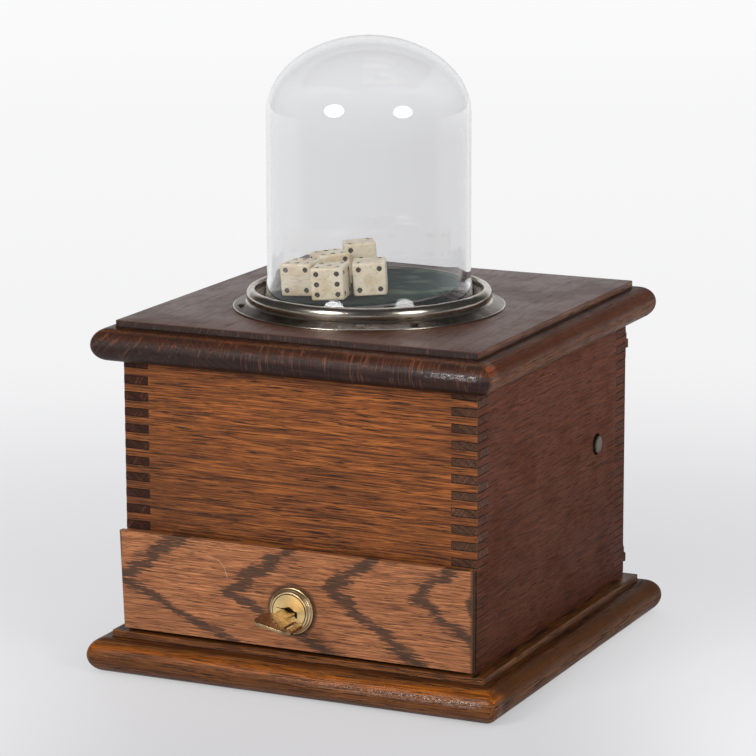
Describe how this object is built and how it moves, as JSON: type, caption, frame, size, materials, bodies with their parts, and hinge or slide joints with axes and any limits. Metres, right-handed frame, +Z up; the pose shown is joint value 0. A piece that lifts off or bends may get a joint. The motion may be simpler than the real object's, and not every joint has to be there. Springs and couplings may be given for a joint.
{
  "type": "dice popper",
  "caption": "Oak dice popper: a push rod in the side flicks a felted disc that tosses dice inside a glass dome, over a case with a locked drawer and a rear door.",
  "frame": {"origin": "middle of the underside of the base board", "axes": "+Z up, +X to the right as seen from the drawer side, +Y to the back; the push rod is on the +X side and the drawer opens towards -Y"},
  "size_m": [0.2392, 0.2654, 0.3356],
  "materials": {
    "oak": "stained oak, worn satin",
    "oak_top": "dark stained oak, worn",
    "plain_wood": "bare wood",
    "nickel": "worn nickel plate",
    "glass": "clear blown glass",
    "leather": "dark, pressed flat",
    "steel": "dull, oiled",
    "spring_steel": "blued wire",
    "brass": "aged, handled",
    "felt": "worn green felt",
    "bone": "yellowed, low gloss, like bone"
  },
  "bodies": {
    "case": {"base_board": "oak", "top_board": "oak_top", "left_side": "oak", "right_side": "oak", "front_panel": "oak", "back_panel": "oak", "drawer_shelf": "plain_wood", "drawer_runners": "plain_wood", "corner_blocks": "plain_wood", "block_screws": "steel", "base_screws": "steel", "dome_ring": "nickel", "ring_screws": "nickel", "glass_dome": "glass", "dome_washer": "leather", "guide_bridge": "steel", "guide_bush": "brass", "bridge_screws": "steel", "button_plate": "steel", "rod_bracket": "steel", "plate_screws": "steel", "shaft_brackets": "steel", "bracket_screws": "steel", "hinge_eyes": "brass", "turn_button_post": "brass", "rod_spring": "spring_steel", "stem_spring": "spring_steel"},
    "push_rod": {"push_rod": "nickel", "rod_collar": "brass"},
    "rocker": {"rocking_shaft": "steel", "push_arm": "steel", "lifter_arm": "steel", "arm_screws": "steel"},
    "popper": {"popper_stem": "nickel", "popper_hub": "brass", "popper_disc": "steel", "disc_felt": "felt", "stem_collar": "brass"},
    "drawer": {"drawer_front": "oak", "drawer_inner_front": "plain_wood", "drawer_left": "plain_wood", "drawer_right": "plain_wood", "drawer_back": "plain_wood", "drawer_bottom": "plain_wood", "front_screws": "brass", "lock_housing": "brass", "lock_nut": "brass"},
    "lock_plug": {"lock_plug": "brass", "lock_cam": "steel", "cam_screw": "steel"},
    "key": {"key": "brass"},
    "rear_door": {"rear_door": "oak", "hinge_pintles": "brass", "door_knob": "brass"},
    "turn_button": {"turn_button": "brass"},
    "die_1": {"die_1": "bone"},
    "die_2": {"die_2": "bone"},
    "die_3": {"die_3": "bone"},
    "die_4": {"die_4": "bone"},
    "die_5": {"die_5": "bone"}
  },
  "joints": [
    {"name": "push_rod_slide", "type": "slide", "parent": "case", "child": "push_rod", "axis": [-1, 0, 0], "range_m": [0, 0.004], "stiffness_N_per_m": 600, "springref_m": -0.006, "deforming": ["rod_spring"]},
    {"name": "rocker_turn", "type": "hinge", "parent": "case", "child": "rocker", "pos_m": [0.045, 0.02, 0.1226], "axis": [0, 1, 0], "range_deg": [0, 15.7]},
    {"name": "popper_lift", "type": "slide", "parent": "case", "child": "popper", "axis": [0, 0, 1], "range_m": [0, 0.0128], "stiffness_N_per_m": 120, "springref_m": -0.008, "deforming": ["stem_spring"]},
    {"name": "drawer_slide", "type": "slide", "parent": "case", "child": "drawer", "axis": [0, -1, 0], "range_m": [-0.0034, 0.13]},
    {"name": "lock_turn", "type": "hinge", "parent": "drawer", "child": "lock_plug", "pos_m": [0, -0.1148, 0.0459], "axis": [0, 1, 0], "range_deg": [0, 90]},
    {"name": "key_pull", "type": "slide", "parent": "lock_plug", "child": "key", "axis": [0, -1, 0], "range_m": [0, 0.026]},
    {"name": "rear_door_swing", "type": "hinge", "parent": "case", "child": "rear_door", "pos_m": [0.0996, 0.1062, 0.0959], "axis": [0, 0, -1], "range_deg": [0, 150]},
    {"name": "turn_button_turn", "type": "hinge", "parent": "case", "child": "turn_button", "pos_m": [-0.095, 0.111, 0.09595], "axis": [0, -1, 0], "continuous": true},
    {"name": "die_1_hop", "type": "slide", "parent": "popper", "child": "die_1", "axis": [0, 0, 1], "range_m": [0, 0.05]},
    {"name": "die_2_hop", "type": "slide", "parent": "popper", "child": "die_2", "axis": [0, 0, 1], "range_m": [0, 0.05]},
    {"name": "die_3_hop", "type": "slide", "parent": "popper", "child": "die_3", "axis": [0, 0, 1], "range_m": [0, 0.05]},
    {"name": "die_4_hop", "type": "slide", "parent": "popper", "child": "die_4", "axis": [0, 0, 1], "range_m": [0, 0.05]},
    {"name": "die_5_hop", "type": "slide", "parent": "popper", "child": "die_5", "axis": [0, 0, 1], "range_m": [0, 0.05]}
  ],
  "couplings": [
    {"joint": "rocker_turn", "follows": "push_rod_slide", "rad_per_m": 68.07},
    {"joint": "popper_lift", "follows": "push_rod_slide", "ratio": 3.19}
  ]
}
